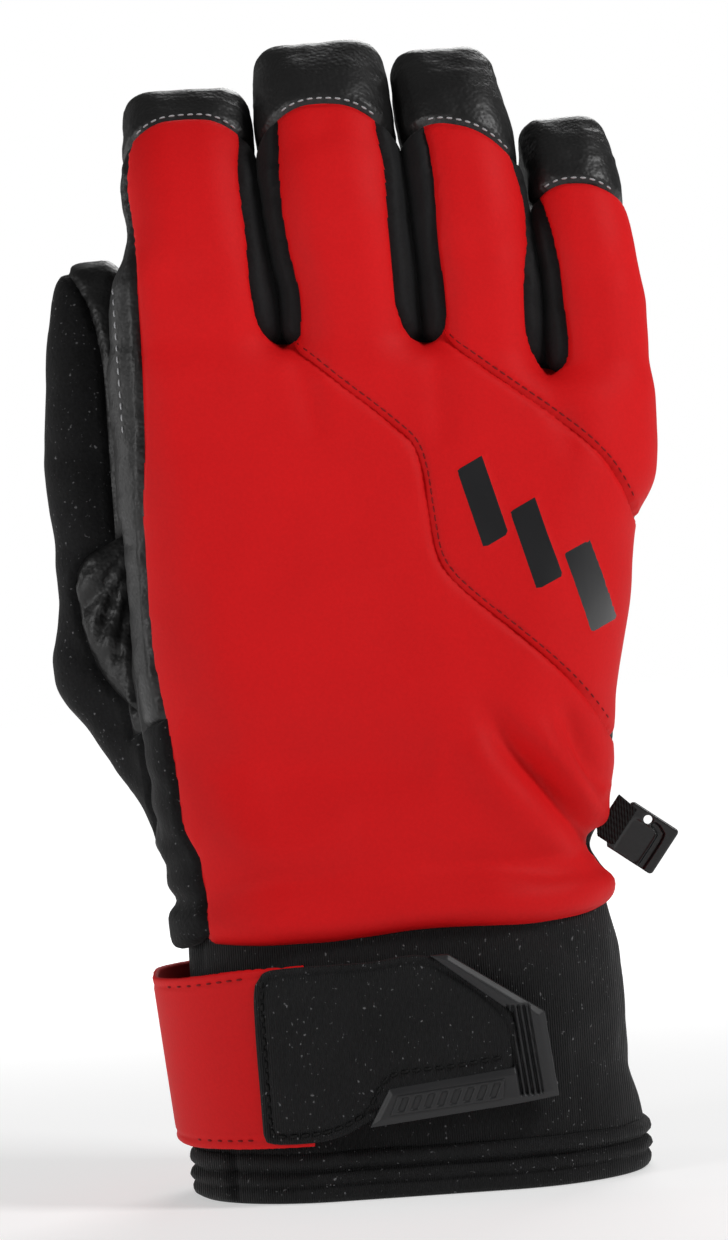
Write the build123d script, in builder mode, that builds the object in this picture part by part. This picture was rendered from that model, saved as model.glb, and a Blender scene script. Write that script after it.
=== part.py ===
"""A five-finger snow glove for the right hand, size L, standing on its cuff with the fingers up.

Row frame: X to the little finger's side, Y from the back of the hand to the palm, Z to the fingertips.
The origin is the middle of the wrist opening, on the surface that the hem stands on. Units are millimetres.
"""

import os
from math import cos, radians, sin

from build123d import *

# ---------------------------------------------------------------- driving dimensions
SHELL = 1.4  # outer fabric and leather
LINER = 2.8  # insulation with its fleece face
EASE = 0.3  # air between the shell and what lies inside it
REACH = 90  # half the size of a cutting solid

HEM_HEIGHT = 8
HEM_FOLD = 1.4  # the binding's thickness, under and beside the cuff wall
CUFF_WALL = 2.4
CUFF_TOP = 42
WRIST_Z = 58  # the wrist bends here, at the lower edge of the back panels
HAND_TOP = 170  # the hand shell ends here, and the finger roots begin

# cross-sections, as (z, left x, right x, depth), rounded almost to a half circle at each side
CUFF_SECTIONS = [(HEM_HEIGHT, -50, 50, 66), (CUFF_TOP, -49, 48, 66)]
WRIST_SECTIONS = [(CUFF_TOP, -48, 47, 58), (WRIST_Z, -46, 45, 54)]
HAND_SECTIONS = [
    (WRIST_Z, -46, 45, 54),
    (72, -48, 43, 52),
    (86, -51, 47.5, 50),
    (104, -54.5, 50.5, 47.5),
    (125, -56.5, 54, 44.5),
    (145, -57, 58.5, 41),
    (158, -57, 61.5, 37.5),
    (HAND_TOP, -57, 62, 34),
]
CORNER = 0.48  # corner radius as a share of the depth

# the digits, as (x, y, height of the root, height of the tip, radius, curl in degrees, bend radius)
FINGERS = {
    "index": (-36.6, 0, 190, 248, 13.8, 40, 50),
    "middle": (-6, 0, 190, 256, 14.8, 40, 50),
    "ring": (24, 0, 186, 253.5, 13.6, 40, 50),
    "little": (50, 0, 182, 236.5, 11.6, 40, 42),
}
THUMB = (-62.9, 23.5, 128, 214, 12.2, 20, 80)
THUMB_GUSSET_TOP = 117
THUMB_INSIDE = (-42, 8, 80)  # where the thumb's own passage meets the middle of the hand
PANEL_SHARE = 0.8  # half the width of a back or palm panel, as a share of the finger's radius

# outlines on the back of the hand, as (x, z)
THUMB_SIDE_SEAM = [(-44, 58), (-50, 98), (-53, 130), (-53, 150), (-51, 171)]
LOWER_SEAM = [(3.5, 171), (9, 165), (11, 150), (13, 137), (28, 122), (42, 107), (51, 93), (60, 93)]
UPPER_SEAM = [(38, 171), (48, 161.5), (57, 146), (70, 140)]
EMBLEM_BARS = [(17, 158), (28, 148), (39, 138)]  # upper left corner of each slanted bar
EMBLEM_BAR = (7, 19)  # width, height
EMBLEM_SLANT = 5  # the foot of a bar lies this far to the right of its head

PATCH_THICKNESS = 0.8  # the hook patch and the loop patch
STRAP_BAND = 1.6
STRAP_GAP = 0.2
STRAP_LIFT = 2 * PATCH_THICKNESS + STRAP_GAP + STRAP_BAND  # the strap's outer face over the cuff
STRAP_LEFT, STRAP_RIGHT = -57.5, 53
STRAP_DEPTH = CUFF_SECTIONS[0][3] + 2 * STRAP_LIFT
STRAP_BOTTOM, STRAP_TOP = 13, 51

CLIP_ROOT = (46, 0, 80.5)  # where the clip's centre line meets the side seam
CLIP_TURN = 37  # the clip points this far below level
CLIP_THICKNESS = 2.4
CLIP_BAR = 1.2  # thickness of the bar that the webbing goes round
WEBBING = 0.9
CLIP_HINGE = (47.6, 0, 80.5)
CLIP_AXIS = (0.3, 0, 0.954)


# ---------------------------------------------------------------- helpers
def rounded_form(sections, inset=0.0):
    """A solid lofted through the rounded cross-sections, each one smaller by inset all round."""
    with BuildPart() as form:
        for height, left, right, depth in sections:
            with BuildSketch(Plane.XY.offset(height)):
                with Locations(((left + right) / 2, 0)):
                    RectangleRounded(right - left - 2 * inset, depth - 2 * inset, CORNER * depth - inset)
        loft()
    return form.part


def straight_form(left, right, depth, bottom, top):
    """The same cross-section with no taper, between two heights."""
    with BuildPart() as form:
        with BuildSketch(Plane.XY.offset(bottom)):
            with Locations(((left + right) / 2, 0)):
                RectangleRounded(right - left, depth, CORNER * depth)
        extrude(amount=top - bottom)
    return form.part


def between(outer, inner):
    """The wall that is left of one form when another is taken out of it."""
    with BuildPart() as wall:
        add(outer)
        add(inner, mode=Mode.SUBTRACT)
    return wall.part


def prism(outline, near=0.0, far=REACH):
    """A cutter over an (x, z) outline on the back of the hand, from y = -near to y = -far."""
    with BuildPart() as cutter:
        with BuildSketch(Plane.XZ.offset(near)):
            with BuildLine():
                Polyline(*outline, close=True)
            make_face()
        extrude(amount=far - near)
    return cutter.part


def cut_out(solid, cutter):
    """The part of a solid that lies inside a cutter."""
    with BuildPart() as piece:
        add(solid)
        add(cutter, mode=Mode.INTERSECT)
    return piece.part


def trim(solid, *cutters):
    """A solid with each cutter taken out of it."""
    with BuildPart() as piece:
        add(solid)
        for cutter in cutters:
            add(cutter, mode=Mode.SUBTRACT)
    return piece.part


def strap_ring(outer, inner):
    """A ring round the cuff, over the strap's height, between two offsets from the strap's outer face."""
    rings = [
        straight_form(STRAP_LEFT + inset, STRAP_RIGHT - inset, STRAP_DEPTH - 2 * inset, STRAP_BOTTOM, STRAP_TOP)
        for inset in (outer, inner)
    ]
    return between(*rings)


def save(solid, name):
    """Writes one node."""
    solid.label = name
    export_step(solid, f"parts/{name}.step")
    print(name, "solids", len(solid.solids()), "volume", round(solid.volume))


# ---------------------------------------------------------------- cuff
def cuff():
    lower = HEM_HEIGHT - HEM_FOLD
    outer = rounded_form(CUFF_SECTIONS)
    inner = rounded_form(CUFF_SECTIONS, CUFF_WALL)
    _, left, right, depth = CUFF_SECTIONS[0]
    foot_outer = straight_form(left, right, depth, HEM_FOLD, HEM_HEIGHT)
    with BuildPart() as wall:
        add(between(outer, inner))
        with BuildSketch(Plane.XY.offset(HEM_FOLD)):
            with Locations(((left + right) / 2, 0)):
                RectangleRounded(right - left, depth, CORNER * depth)
                RectangleRounded(
                    right - left - 2 * CUFF_WALL,
                    depth - 2 * CUFF_WALL,
                    CORNER * depth - CUFF_WALL,
                    mode=Mode.SUBTRACT,
                )
        extrude(amount=lower)
    back_side = prism([(-REACH, 0), (REACH, 0), (REACH, REACH), (-REACH, REACH)])
    save(cut_out(wall.part, back_side), "cuff_back_panel")
    save(trim(wall.part, back_side), "cuff_palm_panel")

    with BuildPart() as binding:
        with BuildSketch():
            with Locations(((left + right) / 2, 0)):
                grown = HEM_FOLD
                RectangleRounded(right - left + 2 * grown, depth + 2 * grown, CORNER * depth + grown)
                shrunk = CUFF_WALL + HEM_FOLD
                RectangleRounded(
                    right - left - 2 * shrunk,
                    depth - 2 * shrunk,
                    CORNER * depth - shrunk,
                    mode=Mode.SUBTRACT,
                )
        extrude(amount=HEM_HEIGHT)
        add(foot_outer, mode=Mode.SUBTRACT)
        with BuildSketch(Plane.XY.offset(HEM_FOLD)):
            with Locations(((left + right) / 2, 0)):
                inset = CUFF_WALL
                RectangleRounded(right - left - 2 * inset, depth - 2 * inset, CORNER * depth - inset)
                RectangleRounded(
                    right - left - 2 * shrunk,
                    depth - 2 * shrunk,
                    CORNER * depth - shrunk,
                    mode=Mode.SUBTRACT,
                )
        extrude(amount=lower)
        # the two rows of folding show as a groove round the outside
        groove = straight_form(left - 3, right + 3, depth + 6, 4.6, 5.4)
        core = straight_form(left - 0.7, right + 0.7, depth + 1.4, 4.6, 5.4)
        add(between(groove, core), mode=Mode.SUBTRACT)
    save(binding.part, "cuff_hem_binding")

    sections = [(HEM_HEIGHT + 0.4, *CUFF_SECTIONS[0][1:]), CUFF_SECTIONS[1]]
    gap = CUFF_WALL + 0.4
    save(between(rounded_form(sections, gap), rounded_form(sections, gap + 1.4)), "cuff_lining")

    fold = [(height, left, right, depth) for height, left, right, depth in WRIST_SECTIONS]
    save(between(rounded_form(fold), rounded_form(fold, CUFF_WALL + 1.8)), "wrist_flex_zone")

    patch_area = prism([(-26, 16), (34, 16), (34, 41), (-26, 41)])
    patch_skin = between(rounded_form(CUFF_SECTIONS, -PATCH_THICKNESS), rounded_form(CUFF_SECTIONS))
    save(cut_out(patch_skin, patch_area), "loop_patch")


# ---------------------------------------------------------------- hand
def passage(radius):
    """The thumb's passage from the middle of the hand to the thumb's root, as a round bar."""
    start = Vector(*THUMB_INSIDE)
    end = Vector(THUMB[0], THUMB[1], THUMB_GUSSET_TOP)
    way = (end - start).normalized()
    with BuildPart() as bar:
        with BuildSketch(Plane(start, z_dir=way)):
            Circle(radius)
        extrude(amount=(end - start).length + radius)
    return bar.part


def hand():
    outer = rounded_form(HAND_SECTIONS)
    skin = between(outer, rounded_form(HAND_SECTIONS, SHELL))
    thumb_radius = THUMB[4]
    hole = passage(thumb_radius - SHELL - 2.2)

    red_area = THUMB_SIDE_SEAM + [(REACH, 171), (REACH, 57)]
    red_skin = cut_out(skin, prism(red_area))
    lower_area = prism([*THUMB_SIDE_SEAM, *LOWER_SEAM, (60, 57)])
    upper_area = prism([*UPPER_SEAM, (70, 171)])
    save(cut_out(red_skin, lower_area), "back_panel_index")
    save(cut_out(red_skin, upper_area), "back_panel_outer")
    save(trim(red_skin, lower_area, upper_area), "back_panel_band")

    emblem_skin = between(rounded_form(HAND_SECTIONS, -0.4), rounded_form(HAND_SECTIONS, -0.05))
    width, height = EMBLEM_BAR
    with BuildPart() as bars:
        for x, z in EMBLEM_BARS:
            outline = [
                (x, z),
                (x + EMBLEM_SLANT, z - height),
                (x + EMBLEM_SLANT + width, z - height + width / 2),
                (x + width, z + width / 2),
            ]
            add(cut_out(emblem_skin, prism(outline)))
    save(bars.part, "band_emblem")

    palm_skin = trim(skin, prism(red_area), hole)
    overlay_area = prism([(-70, 107), (-45, 107), (-45, 150), (-70, 150)], near=-REACH, far=REACH)
    save(cut_out(palm_skin, overlay_area), "thumb_crotch_overlay")
    save(trim(palm_skin, overlay_area), "palm_panel")

    lining = between(rounded_form(HAND_SECTIONS, SHELL + EASE), rounded_form(HAND_SECTIONS, SHELL + EASE + LINER))
    save(trim(lining, passage(thumb_radius - SHELL - 3)), "hand_liner")

    with BuildPart() as gusset:
        add(passage(thumb_radius))
        add(passage(thumb_radius - 3.2), mode=Mode.SUBTRACT)
        add(rounded_form(HAND_SECTIONS, -EASE), mode=Mode.SUBTRACT)
        with Locations((0, 0, THUMB_GUSSET_TOP)):
            Box(300, 300, 100, align=(Align.CENTER, Align.CENTER, Align.MIN), mode=Mode.SUBTRACT)
    save(gusset.part, "thumb_gusset")

    _, left, right, depth = HAND_SECTIONS[-1]
    with BuildPart() as web:
        add(straight_form(left, right, depth, HAND_TOP, HAND_TOP + SHELL))
        for x, _, _, _, radius, _, _ in FINGERS.values():
            with Locations((x, 0, HAND_TOP)):
                Cylinder(radius + 0.1, 20, mode=Mode.SUBTRACT)
    save(web.part, "finger_crotch_web")


# ---------------------------------------------------------------- digits
def digit_form(digit, radius):
    """A bent finger of this radius: (the stall up to the cap seam, the domed end)."""
    x, y, root, tip, outer_radius, curl, bend = digit
    straight = tip - root - outer_radius - bend * sin(radians(curl))
    with BuildPart() as stall:
        with BuildLine(Plane.YZ.offset(x)) as way:
            rise = Line((y, root), (y, root + straight))
            JernArc(start=rise @ 1, tangent=rise % 1, radius=bend, arc_size=-curl)
        with BuildSketch(Plane.XY.offset(root)):
            with Locations((x, y)):
                Circle(radius)
        sweep(path=way.line)
    end, ahead = way.line @ 1, way.line % 1
    across = Vector(1, 0, 0)
    with BuildPart() as dome:
        with BuildSketch(Plane(origin=end, x_dir=across, z_dir=across.cross(ahead))):
            Circle(radius)
            with Locations((radius, 0)):
                Rectangle(2 * radius, 4 * radius, mode=Mode.INTERSECT)
            with Locations((0, radius)):
                Rectangle(4 * radius, 2 * radius, mode=Mode.INTERSECT)
        revolve(axis=Axis(end, ahead), revolution_arc=360)
    return stall.part, dome.part


def finger(name, digit):
    x, y, root, _, radius, _, _ = digit
    stall_outer, dome_outer = digit_form(digit, radius)
    stall_inner, dome_inner = digit_form(digit, radius - SHELL)
    tube = between(stall_outer, stall_inner)
    half = PANEL_SHARE * radius
    with BuildPart() as slab:
        with Locations((x, y, root)):
            Box(2 * half, 4 * REACH, 4 * REACH)
    walls = cut_out(tube, slab.part).solids().sort_by(Axis.Y)
    for wall, side in zip(walls, ("back", "palm")):
        with BuildPart() as panel:
            add(wall)
        save(panel.part, f"{name}_{side}")
    save(trim(tube, slab.part), f"{name}_sidewalls")
    save(between(dome_outer, dome_inner), f"{name}_cap")

    liner_radius = radius - SHELL - EASE
    outer = digit_form(digit, liner_radius)
    inner = digit_form(digit, liner_radius - LINER)
    with BuildPart() as liner:
        add(outer[0])
        add(outer[1])
        add(inner[0], mode=Mode.SUBTRACT)
        add(inner[1], mode=Mode.SUBTRACT)
    save(liner.part, f"{name}_liner")


def flex_zone(name, digit, bottom):
    """The soft length of a digit below its bending line, shell and liner together."""
    x, y, root, _, radius, _, _ = digit
    with BuildPart() as zone:
        with BuildSketch(Plane.XY.offset(bottom)):
            with Locations((x, y)):
                Circle(radius)
                Circle(radius - SHELL - EASE - LINER, mode=Mode.SUBTRACT)
        extrude(amount=root - bottom)
    save(zone.part, f"{name}_flex_zone")


# ---------------------------------------------------------------- wrist strap
def strap():
    band = strap_ring(0, STRAP_BAND)
    save(cut_out(band, prism([(-REACH, 0), (20, 0), (20, REACH), (-REACH, REACH)], near=0.1)), "strap_band")

    rear = prism([(-REACH, 0), (-12, 0), (-12, REACH), (-REACH, REACH)], near=-REACH, far=0)
    sewn_end = prism([(-26, 0), (-12, 0), (-12, 38), (-26, 38)], near=-REACH, far=0)
    with BuildPart() as anchor:
        add(cut_out(band, rear))
        add(cut_out(strap_ring(STRAP_BAND, STRAP_LIFT + 1), sewn_end))
        add(rounded_form(CUFF_SECTIONS), mode=Mode.SUBTRACT)
    save(anchor.part, "strap_anchor")

    tab_outline = [(4, 51), (8, 51), (28, 38), (30, 20), (21, 19), (-11, 16.5), (-7, 24), (20, 26.5), (21, 38)]
    cover_outline = [(-35, 14), (-22, 14), (-12, 18), (21, 20), (27, 21), (26, 37), (6, 51), (-35, 51)]
    cover = cut_out(strap_ring(-1.2, -0.05), prism(cover_outline))
    save(trim(cover, prism(tab_outline)), "strap_cover")

    with BuildPart() as tab:
        add(cut_out(strap_ring(-2.4, -0.05), prism(tab_outline)))
        for x in (22.2, 23.8, 25.4, 27):
            groove = prism([(x, 22), (x + 0.7, 22), (x + 0.7, 36), (x, 36)])
            add(cut_out(strap_ring(-3, -1.7), groove), mode=Mode.SUBTRACT)
        badge_seat = prism([(-7, 18.4), (18, 20.4), (18.4, 24.8), (-5, 23)])
        add(cut_out(strap_ring(-3, -1.6), badge_seat), mode=Mode.SUBTRACT)
    save(tab.part, "pull_tab")

    badge_area = prism([(-6.5, 18.8), (17.6, 20.7), (18, 24.4), (-4.7, 22.7)])
    save(cut_out(strap_ring(-2.8, -1.65), badge_area), "tab_badge")

    hook_skin = strap_ring(STRAP_BAND + 0.02, STRAP_BAND + PATCH_THICKNESS)
    save(cut_out(hook_skin, prism([(-18, 20), (19, 20), (19, 41), (-18, 41)])), "hook_patch")


# ---------------------------------------------------------------- glove clip
def clip():
    along = Vector(cos(radians(CLIP_TURN)), 0, -sin(radians(CLIP_TURN)))
    face = Plane(origin=CLIP_ROOT, x_dir=along, z_dir=(0, -1, 0))
    with BuildPart() as hook:
        with BuildSketch(face.offset(-CLIP_THICKNESS / 2)):
            with Locations((10.9, -1.2)):
                RectangleRounded(12.6, 11.8, 0.9)
            with Locations((6.7, -1.2)):
                Rectangle(1.4, 9.6, mode=Mode.SUBTRACT)
            with Locations((9.8, 3)):
                Circle(1, mode=Mode.SUBTRACT)
            with BuildLine() as slot:
                entry = Line((11.8, 2.6), (12.2, 2.6))
                bend = JernArc(start=entry @ 1, tangent=entry % 1, radius=2, arc_size=-90)
                Line(bend @ 1, (14.2, -8))
            trace(line_width=1.4, mode=Mode.SUBTRACT)
        extrude(amount=CLIP_THICKNESS)
        # the bar is thinner than the plate, and the webbing lies flush round it
        for start in (-CLIP_THICKNESS / 2, CLIP_BAR / 2):
            with BuildSketch(face.offset(start)):
                with Locations((5.3, -1.2)):
                    Rectangle(1.5, 9.6)
            extrude(amount=(CLIP_THICKNESS - CLIP_BAR) / 2, mode=Mode.SUBTRACT)
    save(hook.part, "clip_hook")

    half = CLIP_BAR / 2 + 0.05 + WEBBING
    axis = Vector(*CLIP_AXIS).normalized()
    inner_end = [(1.5 + 0.348 * (3.2 - v), v) for v in (3.2, -5.6)]
    with BuildPart() as webbing:
        with BuildSketch(face.offset(-half)):
            with BuildLine():
                Polyline(inner_end[0], (6.95, 3.2), (6.95, -5.6), inner_end[1], close=True)
            make_face()
        extrude(amount=2 * half)
        with BuildSketch(Plane(Vector(*CLIP_HINGE) - 6.5 * axis, z_dir=axis)):
            Circle(half)
        extrude(amount=9)
        with BuildSketch(face.offset(half - WEBBING)):
            with Locations((5.3, -1.2)):
                Rectangle(1.5, 12)
        extrude(amount=-2 * (half - WEBBING), mode=Mode.SUBTRACT)
    save(webbing.part, "clip_webbing")


os.makedirs("parts", exist_ok=True)
cuff()
hand()
for digit_name, digit_sizes in FINGERS.items():
    finger(digit_name, digit_sizes)
    flex_zone(digit_name, digit_sizes, HAND_TOP)
finger("thumb", THUMB)
flex_zone("thumb", THUMB, THUMB_GUSSET_TOP)
strap()
clip()
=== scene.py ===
"""A snow glove's looks: sewn skin, cuff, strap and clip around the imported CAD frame, in millimetres."""

import itertools
import math

import bpy
import numpy as np
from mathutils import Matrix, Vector
from mathutils.bvhtree import BVHTree
from mathutils.kdtree import KDTree


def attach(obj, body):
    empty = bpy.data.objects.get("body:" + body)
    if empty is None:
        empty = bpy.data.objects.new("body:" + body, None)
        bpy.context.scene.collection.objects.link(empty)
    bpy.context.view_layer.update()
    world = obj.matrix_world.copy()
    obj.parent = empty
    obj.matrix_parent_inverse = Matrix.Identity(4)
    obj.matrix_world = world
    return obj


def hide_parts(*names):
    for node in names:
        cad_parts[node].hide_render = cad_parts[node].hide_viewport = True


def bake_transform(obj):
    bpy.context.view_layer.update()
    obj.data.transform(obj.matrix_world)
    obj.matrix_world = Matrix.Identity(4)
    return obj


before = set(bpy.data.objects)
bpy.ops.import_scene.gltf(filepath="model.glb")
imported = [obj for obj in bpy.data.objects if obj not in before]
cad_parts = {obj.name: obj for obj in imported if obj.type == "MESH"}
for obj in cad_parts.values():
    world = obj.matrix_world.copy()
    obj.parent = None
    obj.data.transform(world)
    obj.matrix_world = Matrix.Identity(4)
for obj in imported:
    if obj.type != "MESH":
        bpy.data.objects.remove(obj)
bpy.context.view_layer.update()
rng = np.random.default_rng(7)
MM = 0.001
VOXEL = 1.0
FAR = 1e9
FORM_LOW = (-82, -44)
FORM_HIGH = (70, 50, 262)
FINGERS = ("index", "middle", "ring", "little")


# ---------------------------------------------------------------- small helpers
def curve(points):
    """A smooth function through (position, value) pairs that never overshoots them."""
    at, value = np.array(sorted(points), float).T
    step, rise = np.diff(at), np.diff(value)
    slope = rise / step
    product = slope[1:] * slope[:-1]
    inner = np.where(product > 0, 2 * product / (slope[1:] + slope[:-1] + 1e-12), 0)
    tangent = np.concatenate([[slope[0]], inner, [slope[-1]]])

    def evaluate(t):
        t = np.clip(t, at[0], at[-1])
        i = np.clip(np.searchsorted(at, t, side="right") - 1, 0, len(step) - 1)
        u = (t - at[i]) / step[i]
        return (
            value[i] * (1 + 2 * u) * (1 - u) ** 2
            + step[i] * tangent[i] * u * (1 - u) ** 2
            + value[i + 1] * u * u * (3 - 2 * u)
            + step[i] * tangent[i + 1] * u * u * (u - 1)
        )

    return evaluate


def ramp(t, start, end):
    """Smooth step from 0 at start to 1 at end."""
    u = np.clip((t - start) / (end - start), 0, 1)
    return u * u * (3 - 2 * u)


def soft_min(a, b, k):
    """The lower of two distances, rounded over k where they meet."""
    h = np.clip(0.5 + 0.5 * (b - a) / k, 0, 1)
    return b + (a - b) * h - k * h * (1 - h)


def soft_max(a, b, k):
    return -soft_min(-a, -b, k)


def rounded_box(dx, dy, hx, hy, r):
    """Distance from the side of a rounded rectangle in the plane."""
    qx, qy = np.abs(dx) - hx + r, np.abs(dy) - hy + r
    return np.hypot(np.maximum(qx, 0), np.maximum(qy, 0)) + np.minimum(np.maximum(qx, qy), 0) - r


# ---------------------------------------------------------------- the glove's form
SLITS = [
    curve([(150, -18.5), (198, -19), (210, -20.5), (225, -21.5), (250, -22.6)]),
    curve([(150, 13), (197, 12.5), (210, 12), (225, 11), (250, 8.8)]),
    curve([(150, 39.8), (185, 39.6), (195, 40), (210, 39), (228, 37), (240, 34.5), (256, 31)]),
]
SLIT_GAP = 0.6
CURL_START = 198
INDEX_LEFT = curve(
    [(150, -57), (196, -57), (204, -56), (211, -53), (216, -52.2), (226, -52.8), (236, -52.2), (250, -51.5)]
)
LITTLE_RIGHT = curve([(150, 62), (192, 62.6), (200, 61.4), (210, 60.2), (220, 58.9), (230, 57), (240, 55)])

THUMB_LEFT = curve(
    [(100, -73), (130, -74), (150, -74.3), (165, -75), (185, -73.5), (200, -71.5), (214, -69.5)]
)
THUMB_RIGHT = curve([(100, -50), (130, -50.6), (165, -51), (195, -52.5), (214, -55)])


def slit_side(number, gap):
    """The line beside a slit between two fingers."""
    return lambda z: SLITS[number](z) + gap


# hinge height, tip height, half depth, curl in degrees, bend radius, CAD radius, left edge, right edge and
# tip corner radius
DIGITS = {
    "index": (190, 248, 13.8, 40, 50, 13.8, INDEX_LEFT, slit_side(0, -SLIT_GAP), 4.5),
    "middle": (190, 256, 14.6, 40, 50, 14.8, slit_side(0, SLIT_GAP), slit_side(1, -SLIT_GAP), 5),
    "ring": (186, 253.5, 13.6, 40, 50, 13.6, slit_side(1, SLIT_GAP), slit_side(2, -SLIT_GAP), 5),
    "little": (182, 236.5, 11.8, 40, 42, 11.6, slit_side(2, SLIT_GAP), LITTLE_RIGHT, 4.5),
    "thumb": (128, 214, 12.2, 20, 80, 12.2, THUMB_LEFT, THUMB_RIGHT, 8),
}
DIGIT_Y = {"thumb": 23.5}


def digit_shape(name):
    """A digit's root height, bend radius, turn in radians and straight length."""
    root, tip, _, curl, bend, radius = DIGITS[name][:6]
    turn = math.radians(curl)
    return root, bend, turn, tip - root - radius - bend * math.sin(turn)


def along(name, y, z):
    """Places beside a digit: distance up its centre line, depth towards the palm, centre line's height."""
    root, bend, turn, straight = digit_shape(name)
    y = y - DIGIT_Y.get(name, 0)
    up = z - root - straight
    theta = np.clip(np.arctan2(up, bend - y), 0, turn)
    bent = up > 0
    ahead, side = np.sin(theta), np.cos(theta)
    cy, cz = bend * (1 - side), bend * ahead
    past = (y - cy) * ahead + (up - cz) * side
    deep = (y - cy) * side - (up - cz) * ahead
    s = np.where(bent, straight + bend * theta + np.where(theta >= turn, past, 0), z - root)
    b = np.where(bent, deep, y)
    centre = np.where(bent, root + straight + cz + np.where(theta >= turn, past * side, 0), z)
    return s, b, centre


def digit_length(name):
    _, bend, turn, straight = digit_shape(name)
    curl, radius = DIGITS[name][3], DIGITS[name][5]
    return straight + bend * turn + (radius - 3.9 * curl / 40 - 0.5) / math.cos(turn)


def digit_field(name, x, y, z):
    _, _, deep, _, _, _, left, right, corner = DIGITS[name]
    s, b, centre = along(name, y, z)
    length = digit_length(name)
    lo, hi = left(centre), right(centre)
    near_tip = np.clip((s - length + 22) / 22, 0, 1) ** 2
    hx = (hi - lo) / 2 * (1 - 0.06 * near_tip)
    front, back = deep * (1 - 0.22 * near_tip), deep * (1 - 0.3 * near_tip)
    hy = (front + back) / 2
    corner_round = (0.86 - 0.36 * near_tip) * np.minimum(hx, hy)
    section = rounded_box(x - (lo + hi) / 2, b - (back - front) / 2, hx, hy, corner_round)
    over = s - length
    q1, q2 = section + corner, over + corner
    return np.hypot(np.maximum(q1, 0), np.maximum(q2, 0)) + np.minimum(np.maximum(q1, q2), 0) - corner


HAND_LEFT = curve(
    [(50, -53), (62, -52.5), (67, -51.3), (74, -53), (86, -54), (104, -55.5), (125, -57), (190, -57)]
)
HAND_RIGHT = curve(
    [(54, 45), (59, 46.6), (64, 46.8), (68, 44.5), (72, 42.6), (79, 46), (86, 48), (95, 49), (105, 50),
     (115, 52), (125, 54), (140, 56.3), (147, 58.5), (155, 61), (163, 62.4), (190, 62.5)]
)
HAND_FRONT = curve(
    [(54, 31), (60, 32), (66, 30.5), (72, 28.5), (80, 28), (100, 26), (125, 23.5), (145, 21), (160, 18.8),
     (175, 16.2), (190, 14.5)]
)
HAND_BACK = curve(
    [(54, 29), (60, 29.5), (72, 27), (86, 26.5), (104, 25), (125, 24), (145, 21.5), (160, 18.8), (175, 16),
     (190, 14.3)]
)
HAND_TOP = curve([(-60, 189), (-18, 187), (14, 185.5), (30, 181), (40, 177), (64, 177)])
HAND_BOTTOM = curve([(-56, 54), (-44, 57.5), (-20, 57), (5, 58.5), (25, 58), (40, 59), (50, 61)])


def rounded_section(x, y, z, edges, fullness):
    """Distance from a rounded tube whose left, right, front and back edges change with height."""
    lo, hi, front, back = (edge(z) for edge in edges)
    hx, hy = (hi - lo) / 2, (front + back) / 2
    return rounded_box(x - (lo + hi) / 2, y - (back - front) / 2, hx, hy, fullness * np.minimum(hx, hy))


def hand_section(x, y, z):
    return rounded_section(x, y, z, (HAND_LEFT, HAND_RIGHT, HAND_FRONT, HAND_BACK), 0.93)


def thumb_base(x, y, z):
    """Distance from the slanted gusset that carries the thumb."""
    start, end = np.array([-40, 6, 76.0]), np.array([-62.9, 23.5, 120.0])
    way = end - start
    px, py, pz = x - start[0], y - start[1], z - start[2]
    t = np.clip((px * way[0] + py * way[1] + pz * way[2]) / (way @ way), 0, 1)
    radius = 9.5 + 2.5 * t
    return np.sqrt((px - way[0] * t) ** 2 + (py - way[1] * t) ** 2 + (pz - way[2] * t) ** 2) - radius


def finger_part(name, x, y, z):
    return soft_max(digit_field(name, x, y, z), 150 - z, 8)


def thumb_part(x, y, z):
    thumb = soft_max(digit_field("thumb", x, y, z), 112 - z, 8)
    return soft_min(thumb, thumb_base(x, y, z), 8)


def hand_part(x, y, z):
    """The hand and its index finger, which the thumb joins."""
    hand = soft_max(hand_section(x, y, z), z - HAND_TOP(x), 7)
    return soft_min(hand, finger_part("index", x, y, z), 4.5)


def glove(x, y, z):
    """Signed distance from the glove's outer skin, about true near the surface."""
    hand = soft_max(hand_section(x, y, z), z - HAND_TOP(x), 7)
    hand = soft_max(hand, HAND_BOTTOM(x) - z, 4)
    fingers = np.full(np.shape(x), 60.0)
    for name in FINGERS:
        fingers = np.minimum(fingers, finger_part(name, x, y, z))
    crotch_round = 9 - 8.4 * ramp(z, 118, 136)
    return soft_min(soft_min(hand, fingers, 4.5), thumb_part(x, y, z), crotch_round)


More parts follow.
